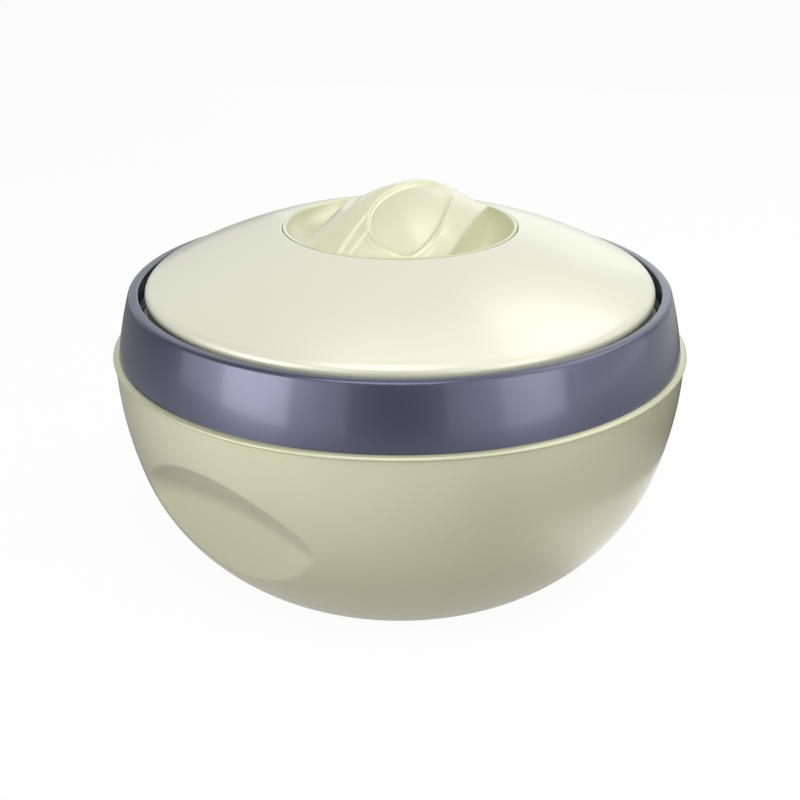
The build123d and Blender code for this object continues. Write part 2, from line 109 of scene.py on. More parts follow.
def addMix(tree, factor, first, second):
    node = addNode(tree, "ShaderNodeMix", data_type="RGBA")
    for socket, value in ((node.inputs["Factor"], factor), (node.inputs[6], first), (node.inputs[7], second)):
        if isinstance(value, (int, float, tuple)):
            socket.default_value = value
        else:
            tree.links.new(value, socket)
    return node.outputs[2]


pearl = {
    "flowStretch": (1.0, 1.0, 0.35), "flowDetail": 4.0, "flowRange": (0.35, 0.7),   # noise that is cloud
    "flakeScale": 2200.0, "flakeRange": (0.0, 0.35),                                # cell distance that gets the painted glint
}
marks = {"smearDetail": 5.0, "smearRange": (0.42, 0.72)}                            # noise that is smear
mould = {"grainDetail": 2.0, "waveDetail": 1.0}


def makeMouldGrain():
    # Fine texture and faint sink waves of a moulded surface, as a height
    group, enter, leave = startGroup(
        "mouldGrain",
        [("Grain Scale", "NodeSocketFloat", 2500.0), ("Grain", "NodeSocketFloat", 0.3),
         ("Wave Scale", "NodeSocketFloat", 18.0), ("Wave", "NodeSocketFloat", 0.5)],
        [("Height", "NodeSocketFloat")],
    )
    coords = addNode(group, "ShaderNodeTexCoord").outputs["Object"]
    grain = addNoise(group, enter["Grain Scale"], mould["grainDetail"], coords)
    grain = addMath(group, "MULTIPLY", grain, enter["Grain"])
    wave = addNoise(group, enter["Wave Scale"], mould["waveDetail"], coords)
    wave = addMath(group, "MULTIPLY", wave, enter["Wave"])
    group.links.new(addMath(group, "ADD", grain, wave), leave["Height"])
    return group


def makePearlFlow():
    # Pearl pigment: long soft flow clouds, and flakes painted a little lighter in the base colour as a painted glint
    group, enter, leave = startGroup(
        "pearlFlow",
        [("Color", "NodeSocketColor", (0.7, 0.7, 0.5, 1)), ("Deep Color", "NodeSocketColor", (0.6, 0.6, 0.4, 1)),
         ("Flake Glint Color", "NodeSocketColor", (0.8, 0.8, 0.7, 1)), ("Flow Scale", "NodeSocketFloat", 14.0),
         ("Flow", "NodeSocketFloat", 0.5), ("Flakes", "NodeSocketFloat", 0.2)],
        [("Color", "NodeSocketColor")],
    )
    coords = addNode(group, "ShaderNodeTexCoord").outputs["Object"]
    cloud = addNoise(group, enter["Flow Scale"], pearl["flowDetail"], coords, stretch=pearl["flowStretch"])
    flow = addMath(group, "MULTIPLY", addRange(group, cloud, *pearl["flowRange"]), enter["Flow"])
    cells = addNode(group, "ShaderNodeTexVoronoi")
    cells.inputs["Scale"].default_value = pearl["flakeScale"]
    group.links.new(coords, cells.inputs["Vector"])
    # flake cells lightened in the base colour: a painted glint of the pearl flakes
    paintedGlint = addRange(group, cells.outputs["Distance"], *pearl["flakeRange"], 1.0, 0.0)
    paintedGlint = addMath(group, "MULTIPLY", paintedGlint, enter["Flakes"])
    tinted = addMix(group, flow, enter["Color"], enter["Deep Color"])
    group.links.new(addMix(group, paintedGlint, tinted, enter["Flake Glint Color"]), leave["Color"])
    return group


def makeHandlingMarks():
    # Roughness that varies with wiped smears
    group, enter, leave = startGroup(
        "handlingMarks",
        [("Roughness", "NodeSocketFloat", 0.2), ("Smear", "NodeSocketFloat", 0.06),
         ("Smear Scale", "NodeSocketFloat", 22.0)],
        [("Roughness", "NodeSocketFloat")],
    )
    coords = addNode(group, "ShaderNodeTexCoord").outputs["Object"]
    smear = addNoise(group, enter["Smear Scale"], marks["smearDetail"], coords)
    smear = addRange(group, smear, *marks["smearRange"])
    smear = addMath(group, "MULTIPLY", smear, enter["Smear"])
    group.links.new(addMath(group, "ADD", enter["Roughness"], smear), leave["Roughness"])
    return group


mouldGrain = makeMouldGrain()
pearlFlow = makePearlFlow()
handlingMarks = makeHandlingMarks()
print("node groups made")


# Finishes

def placeGroup(tree, group, values):
    node = addNode(tree, "ShaderNodeGroup", node_tree=group)
    for label, value in values.items():
        node.inputs[label].default_value = value
    return node.outputs


plainLook = {  # what a finish has unless it says otherwise
    "flowScale": 14.0, "flow": 0.5, "flakes": 0.2, "smear": 0.05, "smearScale": 22.0,
    "grainScale": 2500.0, "grain": 0.2, "waveScale": 18.0, "wave": 0.3, "bump": 0.1, "bumpDepth": 0.0002,
    "metallic": 0.0, "coat": 0.0, "coatRoughness": 0.05, "ior": 1.5,
}


def makeFinish(name, look):
    # A moulded finish: pigment, handling marks and grain feed one Principled shader
    look = {**plainLook, **look}
    material = bpy.data.materials.new(name)
    material.use_nodes = True
    tree = material.node_tree
    shader = tree.nodes["Principled BSDF"]
    pigment = placeGroup(tree, pearlFlow, {
        "Color": (*look["color"], 1), "Deep Color": (*look["deep"], 1), "Flake Glint Color": (*look["flakeGlint"], 1),
        "Flow Scale": look["flowScale"], "Flow": look["flow"], "Flakes": look["flakes"],
    })
    worn = placeGroup(tree, handlingMarks, {
        "Roughness": look["roughness"], "Smear": look["smear"], "Smear Scale": look["smearScale"],
    })
    grain = placeGroup(tree, mouldGrain, {
        "Grain Scale": look["grainScale"], "Grain": look["grain"],
        "Wave Scale": look["waveScale"], "Wave": look["wave"],
    })
    bump = addNode(tree, "ShaderNodeBump")
    bump.inputs["Strength"].default_value = look["bump"]
    bump.inputs["Distance"].default_value = look["bumpDepth"]
    tree.links.new(grain["Height"], bump.inputs["Height"])
    tree.links.new(pigment["Color"], shader.inputs["Base Color"])
    tree.links.new(worn["Roughness"], shader.inputs["Roughness"])
    tree.links.new(bump.outputs["Normal"], shader.inputs["Normal"])
    shader.inputs["Metallic"].default_value = look["metallic"]
    shader.inputs["Coat Weight"].default_value = look["coat"]
    shader.inputs["Coat Roughness"].default_value = look["coatRoughness"]
    shader.inputs["IOR"].default_value = look["ior"]
    return material


# each finish's flake colour is the painted glint of its pearl flakes
finishes = {
    "outerPearl": makeFinish("outerPearl", {
        "color": (0.600, 0.605, 0.418), "deep": (0.545, 0.550, 0.378), "flakeGlint": (0.74, 0.74, 0.60),
        "roughness": 0.46, "metallic": 0.42, "coat": 0.8, "coatRoughness": 0.08, "flow": 0.45, "flakes": 0.22,
    }),
    "collarSlate": makeFinish("collarSlate", {
        "color": (0.094, 0.102, 0.158), "deep": (0.079, 0.086, 0.138), "flakeGlint": (0.165, 0.178, 0.245),
        "roughness": 0.34, "metallic": 0.60, "coat": 0.5, "coatRoughness": 0.12, "flow": 0.5, "flakes": 0.35,
    }),
    "lidIvory": makeFinish("lidIvory", {
        "color": (0.760, 0.775, 0.620), "deep": (0.720, 0.735, 0.575), "flakeGlint": (0.84, 0.84, 0.76),
        "roughness": 0.32, "metallic": 0.15, "coat": 0.3, "coatRoughness": 0.12, "flow": 0.35, "flakes": 0.15,
    }),
    "gripPearl": makeFinish("gripPearl", {
        "color": (0.700, 0.725, 0.500), "deep": (0.650, 0.680, 0.455), "flakeGlint": (0.80, 0.81, 0.66),
        "roughness": 0.32, "metallic": 0.15, "coat": 0.3, "coatRoughness": 0.12, "flow": 0.35, "flakes": 0.2,
    }),
    "linerSatin": makeFinish("linerSatin", {
        "color": (0.760, 0.760, 0.700), "deep": (0.720, 0.720, 0.655), "flakeGlint": (0.82, 0.82, 0.78),
        "roughness": 0.34, "smear": 0.1, "flow": 0.3, "flakes": 0.05,
    }),
    "pouredFoam": makeFinish("pouredFoam", {
        "color": (0.780, 0.700, 0.450), "deep": (0.690, 0.590, 0.340), "flakeGlint": (0.85, 0.79, 0.58),
        "roughness": 0.85, "flowScale": 30.0, "flow": 0.8, "flakes": 0.6, "grainScale": 900.0, "grain": 1.0,
        "bump": 0.7, "bumpDepth": 0.0006,
    }),
    "footRubber": makeFinish("footRubber", {
        "color": (0.060, 0.060, 0.066), "deep": (0.045, 0.045, 0.050), "flakeGlint": (0.11, 0.11, 0.11),
        "roughness": 0.72, "smear": 0.12, "flow": 0.6, "flakes": 0.3, "grainScale": 1500.0, "grain": 0.8,
        "bump": 0.4,
    }),
    "plugPlastic": makeFinish("plugPlastic", {
        "color": (0.540, 0.545, 0.410), "deep": (0.480, 0.485, 0.360), "flakeGlint": (0.62, 0.62, 0.50),
        "roughness": 0.55, "flow": 0.5, "flakes": 0.1, "grain": 0.6, "bump": 0.25,
    }),
    "sealSilicone": makeFinish("sealSilicone", {
        "color": (0.640, 0.650, 0.620), "deep": (0.560, 0.570, 0.545), "flakeGlint": (0.74, 0.74, 0.72),
        "roughness": 0.5, "smear": 0.14, "flow": 0.5, "flakes": 0.1, "grainScale": 1800.0, "grain": 0.5,
        "bump": 0.2,
    }),
    "innerPlastic": makeFinish("innerPlastic", {
        "color": (0.780, 0.780, 0.740), "deep": (0.720, 0.720, 0.680), "flakeGlint": (0.84, 0.84, 0.81),
        "roughness": 0.5, "smear": 0.1, "flow": 0.5, "flakes": 0.1, "grain": 0.6,
        "bump": 0.2,
    }),
    "platedSteel": makeFinish("platedSteel", {
        "color": (0.600, 0.595, 0.585), "deep": (0.500, 0.490, 0.475), "flakeGlint": (0.70, 0.70, 0.70),
        "roughness": 0.32, "smear": 0.12, "metallic": 1.0, "flow": 0.6, "flakes": 0.2,
    }),
}
slotFinish = {
    "outer_shell": "outerPearl", "collar": "collarSlate", "liner": "linerSatin", "foam": "pouredFoam",
    "foot": "footRubber", "plug": "plugPlastic", "lid": "lidIvory", "gasket": "sealSilicone",
    "grip": "gripPearl", "inner_plastic": "innerPlastic", "steel": "platedSteel",
}
for part in frame["record"]["subparts"]:  # the CAD pieces take the finish of their slot
    mesh = nodes[part["node"]].data
    mesh.materials.clear()
    mesh.materials.append(finishes[slotFinish[part["material_slot"]]])
print("finishes made:", len(finishes))


# Shapes: smooth meshes that stand for eight of the CAD pieces

def softMin(first, second, blend):
    # The lower of two heights, with the crossing rounded over about blend
    near = np.maximum(blend - np.abs(first - second), 0.0) / blend
    return np.minimum(first, second) - near**2 * blend / 4


def softMax(first, second, blend):
    return -softMin(-first, -second, blend)


def arcPoints(centre, radius, start, end, count):
    angles = np.radians(np.linspace(start, end, count))
    return [(centre[0] + radius * math.cos(a), centre[1] + radius * math.sin(a)) for a in angles]


def curvePoints(start, pull, end, count):
    # Points of a quadratic curve from start to end, pulled towards one point
    points = []
    for share in np.linspace(0, 1, count):
        weights = ((1 - share) ** 2, 2 * share * (1 - share), share**2)
        points.append(tuple(sum(w * p[i] for w, p in zip(weights, (start, pull, end))) for i in range(2)))
    return points


def roundOutline(corners, steps):
    # A closed outline of (radius, height, rounding) with its corners rounded
    points = []
    for i, (r, z, rounding) in enumerate(corners):
        here = Vector((r, z))
        if rounding == 0:
            points.append((r, z))
            continue
        before = Vector(corners[i - 1][:2]) - here
        after = Vector(corners[(i + 1) % len(corners)][:2]) - here
        reach = rounding / math.tan(before.angle(after) / 2)
        start = here + before.normalized() * reach
        end = here + after.normalized() * reach
        points += curvePoints(start, here, end, steps + 1)
    return points


def sharpPoints(points):
    return [(r, z, 0) for r, z in points]


def addPiece(name, verts, faces, body, slot, *replaced, crease=38.0):
    mesh = bpy.data.meshes.new(name)
    mesh.from_pydata([tuple(v) for v in np.asarray(verts) * mm], [], faces)
    tidy = bmesh.new()
    tidy.from_mesh(mesh)
    bmesh.ops.remove_doubles(tidy, verts=tidy.verts, dist=weldDistance)
    bmesh.ops.recalc_face_normals(tidy, faces=tidy.faces)
    tidy.to_mesh(mesh)
    tidy.free()
    mesh.polygons.foreach_set("use_smooth", [True] * len(mesh.polygons))
    mesh.set_sharp_from_angle(angle=math.radians(crease))
    piece = bpy.data.objects.new(name, mesh)
    scene.collection.objects.link(piece)
    mesh.materials.append(finishes[slotFinish[slot]])
    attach(piece, body)
    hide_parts(*replaced)
    return piece


def turnOutline(outline, turns):
    # Vertices and faces of a closed outline turned round Z, through the given angles
    outline = np.array(outline)
    verts = [(r * math.cos(a), r * math.sin(a), z) for a in turns for r, z in outline]
    rows, count = len(turns), len(outline)
    faces = []
    for i in range(rows):
        for j in range(count):
            near, far = i * count, (i + 1) % rows * count
            nextJ = (j + 1) % count
            faces.append((near + j, far + j, far + nextJ, near + nextJ))
    return verts, faces


def evenTurns(count):
    return [2 * math.pi * i / count for i in range(count)]


def addTurned(name, corners, shape, body, slot, replaced):
    # A piece whose outline, with its corners rounded, is the same all round
    outline = roundOutline(corners, shape["roundSteps"])
    verts, faces = turnOutline(outline, evenTurns(shape["steps"]))
    return addPiece(name, verts, faces, body, slot, replaced)


# Outer bowl with its rim bead and the two scooped hand-holds
bowlShape = {
    "rimRadius": 134.1, "rimHeight": 107.3,
    "sideRadius": 172.0, "sideDepth": 53.5,       # upper arc of the wall
    "baseRadius": 82.8, "baseHeight": 1.2,
    "wall": 2.8,
    "beadRadius": 135.1, "beadHeight": 2.0, "beadNose": 0.8, "beadSteps": 11,
    "beadRoot": 0.4,                              # from the wall's last point up to the bead
    "holdCorner": (117.4, 68.0),                  # upper corner of a hand-hold's floor
    "holdLean": 6.0, "holdFlare": 55.0, "holdSweep": 161.0,
    "holdCornerBlend": 4.0, "holdEdgeBlend": 0.7,
    "holdReach": 30.0,                            # degrees to each side with close columns
    "closeStep": 0.34, "wideStep": 2.0,           # degrees from column to column
    "outerSpacing": 0.8, "innerSpacing": 3.0,     # from row to row
    "halvings": 24,                               # to find the hand-hold's wall
    "plugHole": 8.3, "plugSeat": 12.3, "footSeat": (63.7, 72.3), "seatDepth": 1.0,    # in the base
}


def wallArcs(shape):
    # Centres and radii of the wall's two arcs, which meet with one tangent
    turn = math.asin(shape["sideDepth"] / shape["sideRadius"])
    side = (shape["rimRadius"] - shape["sideRadius"], shape["rimHeight"])
    join = (side[0] + shape["sideRadius"] * math.cos(turn), side[1] - shape["sideDepth"])
    span = (join[0] - shape["baseRadius"], join[1] - shape["baseHeight"])
    radius = (span[0] ** 2 + span[1] ** 2) / (2 * (span[0] * math.cos(turn) - span[1] * math.sin(turn)))
    belly = (join[0] - radius * math.cos(turn), join[1] + radius * math.sin(turn))
    return side, belly, radius, math.degrees(turn)


def wallPoints(shape, inset, floor, top, spacing):
    # The wall's outline from floor to top, drawn in by inset
    side, belly, bellyRadius, turn = wallArcs(shape)
    low, high = bellyRadius - inset, shape["sideRadius"] - inset
    startAngle = math.degrees(math.asin((floor - belly[1]) / low))
    endAngle = math.degrees(math.asin((top - side[1]) / high))
    lowCount = int(math.radians(-turn - startAngle) * low / spacing) + 2
    highCount = int(math.radians(endAngle + turn) * high / spacing) + 2
    return (arcPoints(belly, low, startAngle, -turn, lowCount)
            + arcPoints(side, high, -turn, endAngle, highCount)[1:])


def bowlTurns(shape):
    close, wide, reach = shape["closeStep"], shape["wideStep"], shape["holdReach"]
    half = list(np.arange(-reach, reach, close)) + list(np.arange(reach, 180 - reach, wide))
    return [math.radians(a) for a in half + [a + 180 for a in half]]


def scoopField(shape, radius, across, z):
    # How deep a point is inside the hand-hold's cutting cone; across is its turn from the cone's middle
    lean, flare = math.radians(shape["holdLean"]), math.radians(shape["holdFlare"])
    out = (math.cos(lean), -math.sin(lean))
    x = radius * np.cos(across) - shape["holdCorner"][0]
    y = radius * np.sin(across)
    up = z - shape["holdCorner"][1]
    deep = x * out[0] + up * out[1]
    rise = up * out[0] - x * out[1] + shape["holdSweep"]
    cone = (shape["holdSweep"] + deep * math.tan(flare) - np.hypot(rise, y)) * math.cos(flare)
    return softMin(deep, cone, shape["holdCornerBlend"])


def scoopWall(shape, radius, turn, z, inset):
    # Radius left by the hand-holds at this turn and height, found by halving
    across = (turn + math.pi / 2) % math.pi - math.pi / 2
    low = np.full_like(radius, shape["baseRadius"])
    high = radius + shape["holdCornerBlend"]
    for halving in range(shape["halvings"]):
        middle = (low + high) / 2
        inside = scoopField(shape, middle + inset, across, z) > 0
        high = np.where(inside, middle, high)
        low = np.where(inside, low, middle)
    near = np.abs(across) < math.radians(shape["holdReach"])
    return np.where(near, softMin(radius, low, shape["holdEdgeBlend"]), radius)


def baseSeats(shape, floor):
    # Outline of the base from the plug's hole outward, with the seats of the plug and the foot ring
    low, hole, plug = shape["baseHeight"], shape["plugHole"], shape["plugSeat"]
    deep, (near, far) = low + shape["seatDepth"], shape["footSeat"]
    return [(hole, floor), (hole, deep), (plug, deep), (plug, low),
            (near, low), (near, deep), (far, deep), (far, low)]


def makeOuterBowl(shape):
    rim, top = shape["rimRadius"], shape["rimHeight"] + shape["beadHeight"] / 2
    beadLow = top - shape["beadHeight"]
    nose = shape["beadRadius"] - shape["beadNose"]
    wall = shape["wall"]
    floor = shape["baseHeight"] + wall
    outside = wallPoints(shape, 0, shape["baseHeight"], beadLow - shape["beadRoot"], shape["outerSpacing"])
    pull = (shape["beadRadius"] + shape["beadNose"], shape["rimHeight"])
    bead = [(rim, beadLow)] + curvePoints((nose, beadLow), pull, (nose, top), shape["beadSteps"])
    inside = wallPoints(shape, wall, floor, top - wall, shape["innerSpacing"])[::-1]
    seats = baseSeats(shape, floor)
    outline = outside + bead + [(rim - wall, top)] + inside + seats
    turns = bowlTurns(shape)
    verts, faces = turnOutline(outline, turns)
    verts = np.array(verts)
    radius, turn = np.hypot(verts[:, 0], verts[:, 1]), np.arctan2(verts[:, 1], verts[:, 0])
    index = np.tile(np.arange(len(outline)), len(turns))
    for first, last, inset in ((0, len(outside), 0.0), (len(outside) + len(bead) + 1, len(outline) - len(seats), wall)):
        rows = (index >= first) & (index < last)
        cut = scoopWall(shape, radius[rows], turn[rows], verts[rows, 2], inset)
        verts[rows, 0] = cut * np.cos(turn[rows])
        verts[rows, 1] = cut * np.sin(turn[rows])
    return addPiece("bowlShell", verts, faces, "bowl", "outer_shell", "outer_bowl")


makeOuterBowl(bowlShape)
print("outer bowl made")


# Slate collar with its rounded lip, bolt groove and the shelf for the food liner
collarShape = {
    "bottomRadius": 132.3, "topRadius": 126.1, "swell": 0.6,
    "seat": 108.3, "top": 136.7,
    "lipRadius": 121.6, "lipOuterRound": 2.2, "lipInnerRound": 0.9,
    "grooveRadius": 125.2, "grooveLow": 127.0, "grooveHigh": 133.0,
    "shelfRadius": 115.4, "shelfTop": 120.3, "shelfThickness": 2.5, "skin": 2.3,
    "skirtRadius": 131.0, "skirtBottom": 98.5,
    "smallRound": 0.4, "roundSteps": 5, "sideSteps": 20, "steps": 288,
}


def makeCollar(shape):
    small, skin, seat, top = shape["smallRound"], shape["skin"], shape["seat"], shape["top"]
    shelfLow = shape["shelfTop"] - shape["shelfThickness"]
    channelTop = shape["grooveLow"] - skin
    middle = ((shape["bottomRadius"] + shape["topRadius"]) / 2 + 2 * shape["swell"], (seat + top) / 2)
    outside = curvePoints((shape["bottomRadius"], seat), middle, (shape["topRadius"], top), shape["sideSteps"])
    corners = [(*outside[0], small)] + sharpPoints(outside[1:-2]) + [
        (*outside[-1], shape["lipOuterRound"]),
        (shape["lipRadius"], top, shape["lipInnerRound"]),
        (shape["lipRadius"], shape["grooveHigh"], small),
        (shape["grooveRadius"], shape["grooveHigh"], small),
        (shape["grooveRadius"], shape["grooveLow"], small),
        (shape["lipRadius"], shape["grooveLow"], small),
        (shape["lipRadius"], shape["shelfTop"], small),
        (shape["shelfRadius"], shape["shelfTop"], small),
        (shape["shelfRadius"], shelfLow, small),
        (shape["lipRadius"] + skin, shelfLow, small),
        (shape["lipRadius"] + skin, channelTop, small),
        (shape["grooveRadius"] + skin, channelTop, small),
        (shape["skirtRadius"] - skin, seat, small),
        (shape["skirtRadius"] - skin, shape["skirtBottom"], small),
        (shape["skirtRadius"], shape["skirtBottom"], small),
        (shape["skirtRadius"], seat, 0),
    ]
    return addTurned("collar", corners, shape, "bowl", "collar", "collar_ring")


makeCollar(collarShape)
print("collar made")


# Food liner that hangs on the collar's shelf by its flange
linerShape = {
    "gap": 19.0, "floor": 20.2, "wall": 2.2, "flangeRadius": 121.3, "flangeBottom": 120.3,
    "edgeRound": 0.6, "roundSteps": 5, "spacing": 2.5, "steps": 240,
}


def makeFoodLiner(shape, bowl):
    wall, bottom, edge = shape["wall"], shape["flangeBottom"], shape["edgeRound"]
    rim = bowl["rimHeight"]
    outside = wallPoints(bowl, shape["gap"], shape["floor"], rim, shape["spacing"])
    inside = wallPoints(bowl, shape["gap"] + wall, shape["floor"] + wall, rim, shape["spacing"])
    outer, inner = bowl["rimRadius"] - shape["gap"], bowl["rimRadius"] - shape["gap"] - wall
    corners = sharpPoints(outside) + [
        (outer, bottom, edge),
        (shape["flangeRadius"], bottom, edge),
        (shape["flangeRadius"], bottom + wall, edge),
        (inner, bottom + wall, edge),
    ] + sharpPoints(inside[::-1]) + [(0, shape["floor"] + wall, 0), (0, shape["floor"], 0)]
    return addTurned("foodLiner", corners, shape, "bowl", "liner", "inner_bowl")


makeFoodLiner(linerShape, bowlShape)


# Rubber foot ring with two fine grooves
footShape = {
    "inner": 64.0, "outer": 72.0, "top": 2.2, "topRound": 0.3, "footRound": 0.5,
    "grooves": (66.6, 69.4), "grooveHalf": 0.5, "grooveDepth": 0.5, "grooveRound": 0.1,
    "roundSteps": 3, "steps": 160,
}


def makeFoot(shape):
    top, low = shape["topRound"], shape["footRound"]
    half, depth, small = shape["grooveHalf"], shape["grooveDepth"], shape["grooveRound"]
    corners = [(shape["inner"], shape["top"], top), (shape["inner"], 0, low)]
    for place in shape["grooves"]:
        corners += [(place - half, 0, small), (place - half / 2, depth, small)]
        corners += [(place + half / 2, depth, small), (place + half, 0, small)]
    corners += [(shape["outer"], 0, low), (shape["outer"], shape["top"], top)]
    return addTurned("footRing", corners, shape, "bowl", "foot", "foot_ring")


makeFoot(footShape)
print("food liner and foot made")


# Domed lid with the round well for the grip
lidShape = {
    "radius": 118.7, "edgeHeight": 138.7, "edgeRound": 5.5, "edgeDepth": 4.4, "wall": 2.2,
    "skirtRadius": 118.0, "skirtBottom": 126.3,
    "wellRadius": 54.5, "wellHeight": 163.6, "wellRound": 0.8,
    "cupFloor": 146.5, "bearingRadius": 9.1,
    "smallRound": 0.4, "roundSteps": 5, "domeSteps": 50, "underSteps": 24, "steps": 300,
    "windowHalf": 7.3, "windowLow": 127.7, "windowHigh": 132.3,
    "cutterLength": 2.2,                          # in radii of the lid
}


def domeArc(shape, inset, fromRadius, toRadius, count):
    rise = shape["wellHeight"] - shape["edgeHeight"]
    squares = shape["wellRadius"] ** 2 + shape["wellHeight"] ** 2 - shape["radius"] ** 2 - shape["edgeHeight"] ** 2
    centre = squares / (2 * rise)
    radius = math.hypot(shape["radius"], shape["edgeHeight"] - centre) - inset
    return [(r, centre + math.sqrt(radius**2 - r**2)) for r in np.linspace(fromRadius, toRadius, count)]


def makeLidDome(shape):
    small, wall = shape["smallRound"], shape["wall"]
    underEdge, cupOuter = shape["edgeHeight"] - shape["edgeDepth"], shape["wellRadius"] + wall
    cupUnder, skirtInner = shape["cupFloor"] - wall, shape["skirtRadius"] - wall
    top = domeArc(shape, 0, shape["radius"], shape["wellRadius"], shape["domeSteps"])
    under = domeArc(shape, wall, cupOuter, skirtInner, shape["underSteps"])
    corners = [(*top[0], shape["edgeRound"])] + sharpPoints(top[2:-2]) + [
        (*top[-1], shape["wellRound"]),
        (shape["wellRadius"], shape["cupFloor"], small),
        (shape["bearingRadius"], shape["cupFloor"], small),
        (shape["bearingRadius"], cupUnder, small),
        (cupOuter, cupUnder, small),
    ] + sharpPoints(under) + [
        (skirtInner, shape["skirtBottom"], small),
        (shape["skirtRadius"], shape["skirtBottom"], small),
        (shape["skirtRadius"], underEdge, small),
        (shape["radius"], underEdge, small),
    ]
    lid = addTurned("lidShell", corners, shape, "lid", "lid", "lid_dome")
    cutWindows(lid, shape)
    return lid


def cutWindows(lid, shape):
    # The two windows in the lid's skirt that the bolts pass through
    bpy.ops.mesh.primitive_cube_add(size=1)
    cutter = bpy.context.object
    low, high = shape["windowLow"], shape["windowHigh"]
    length = shape["cutterLength"] * shape["radius"]
    cutter.scale = Vector((length, 2 * shape["windowHalf"], high - low)) * mm
    cutter.location = (0, 0, (low + high) / 2 * mm)
    boolean = lid.modifiers.new("windows", "BOOLEAN")
    boolean.object = cutter
    boolean.solver = "EXACT"
    bpy.context.view_layer.update()
    cut = bpy.data.meshes.new_from_object(lid.evaluated_get(bpy.context.evaluated_depsgraph_get()))
    lid.modifiers.remove(boolean)
    lid.data = cut
    cut.name = lid.name
    bpy.data.objects.remove(cutter)


makeLidDome(lidShape)
print("lid made")


# Shallow pan that closes the lid from below, and the soft gasket round it
panShape = {
    "radius": 109.1, "floor": 114.3, "round": 6.0, "wall": 1.8,
    "flangeRadius": 118.0, "flangeTop": 126.3, "smallRound": 0.4, "roundSteps": 8, "steps": 240,
}
gasketShape = {
    "inner": 113.3, "outer": 117.7, "low": 122.5, "high": 124.5, "round": 0.8, "roundSteps": 6, "steps": 240,
}


def makePan(shape):
    wall, floor, small = shape["wall"], shape["floor"], shape["smallRound"]
    radius, top = shape["radius"], shape["flangeTop"]
    corners = [
        (0, floor, 0),
        (radius, floor, shape["round"]),
        (radius, top - wall, small),
        (shape["flangeRadius"], top - wall, small),
        (shape["flangeRadius"], top, small),
        (radius - wall, top, small),
        (radius - wall, floor + wall, shape["round"] - wall),
        (0, floor + wall, 0),
    ]
    return addTurned("lidPan", corners, shape, "lid", "liner", "lid_liner")


def makeGasket(shape):
    spots = [(shape["inner"], shape["low"]), (shape["outer"], shape["low"]),
             (shape["outer"], shape["high"]), (shape["inner"], shape["high"])]
    corners = [(*spot, shape["round"]) for spot in spots]
    return addTurned("lidGasket", corners, shape, "lid", "gasket", "lid_gasket")


makePan(panShape)
makeGasket(gasketShape)
print("pan and gasket made")


# Turning grip: a dish with an arched, swirled bar across it and a thumb hollow on each side
gripShape = {
    "radius": 54.25, "top": 163.6, "lip": 1.4, "lipLow": 160.8,
    "floor": 151.6, "floorRadius": 36.0, "bend": (49.6, 155.2), "wall": 2.2,
    "underBend": (0.6, 0.9),                      # the underside's bend from the dish's, in walls
    "angle": 23.6,                                # of the bar from X, at rest
    "barHalf": 32.5, "barRise": 19.4, "edgeRise": 1.2, "bulge": 4.3,
    "archLeast": 20.0,                            # half length of the arch at the bar's far sides
    "flare": 9.5, "flareBend": 1.9,
    "ridgeTwist": 12.0, "ridgeHalf": 1.6,
    "thumbEnds": (-49.8, 45.0), "thumbHalf": 15.0, "thumbTaper": 1.6,      # hollow: ends, half width, far taper
    "thumbMiddle": -17.0, "thumbLean": 0.526,     # its middle line across the bar
    "thumbDrift": -0.05, "driftFrom": -30.0, "thumbPast": 10.0,           # and past its ends, how far it fades
    "thumbDepth": 2.1, "thumbBowl": 14.0,         # of the floor, and of the bowl that its sides follow
    "thumbEdge": 0.5, "thumbCorner": 1.2, "ridgeBlend": 0.5,
    "rootBlend": 2.0, "rootFade": 6.0, "rootLeast": 0.05,     # bar into dish: blend, fade at the lip, least share
    "thumbRim": 0.4, "thumbRimWidth": 0.09,       # bead round the near end, its width in hollow sizes
    "folds": ((-4.0, -18.0, 0.9), (-13.3, -22.5, 0.6)),   # lines that step down: aside, degrees, drop
    "foldWidth": 0.7, "foldReach": (0.9, 0.2),    # and outside of the hollow: start, width in hollow sizes
    "rimFade": (30.0, 12.0), "foldFade": (5.0, 20.0),         # from the middle, along the bar: start, length
    "rings": 150, "steps": 600, "dishSteps": 40, "flareSteps": 60, "underSteps": 16,
    "shaftRadius": 9.0, "shaftLow": 144.0, "tenonHalf": 6.0, "tenonLow": 134.1, "tenonOverlap": 1.0,
}


def fadeIn(value, start, length):
    return np.clip((value - start) / length, 0, 1)


def barSlope(shape, share, arch):
    # Height over the slope between ridge (share 0) and edge (share 1), above the grip's top
    straight = shape["barRise"] * arch + (shape["edgeRise"] - shape["barRise"]) * arch * share
    return straight + 4 * shape["bulge"] * np.maximum(arch, 0) * share * (1 - share)


def thumbHollow(shape, along, aside, arch):
    # The hollow in the right slope: a floor along the slope inside a leaf with steep sides
    half, ridge = shape["barHalf"], -along * math.tan(math.radians(shape["ridgeTwist"])) - shape["ridgeHalf"]
    share = (ridge - aside) / (ridge + half)
    near, far = shape["thumbEnds"]
    taper, widest = shape["thumbTaper"], 0.5 / (0.5 + shape["thumbTaper"])
    place = np.clip((along - near) / (far - near), 0, 1)
    width = np.sqrt(place / widest) * ((1 - place) / (1 - widest)) ** taper
    drift = shape["thumbDrift"] * (along - shape["driftFrom"])
    middle = shape["thumbMiddle"] + shape["thumbLean"] * shape["thumbHalf"] * width + drift
    outside = np.maximum(near - along, 0) + np.maximum(along - far, 0)
    reach = ((aside - middle) / shape["thumbHalf"]) ** 2 + 1 - width**2 + outside / shape["thumbPast"]
    sides = -shape["thumbBowl"] * (1 - reach)
    rimWidth = shape["thumbRimWidth"]
    rim = shape["thumbRim"] * np.exp(-(((np.sqrt(reach) - 1 - rimWidth) / rimWidth) ** 2))
    return barSlope(shape, share, arch) + softMax(sides, -shape["thumbDepth"], shape["thumbCorner"]), rim, reach


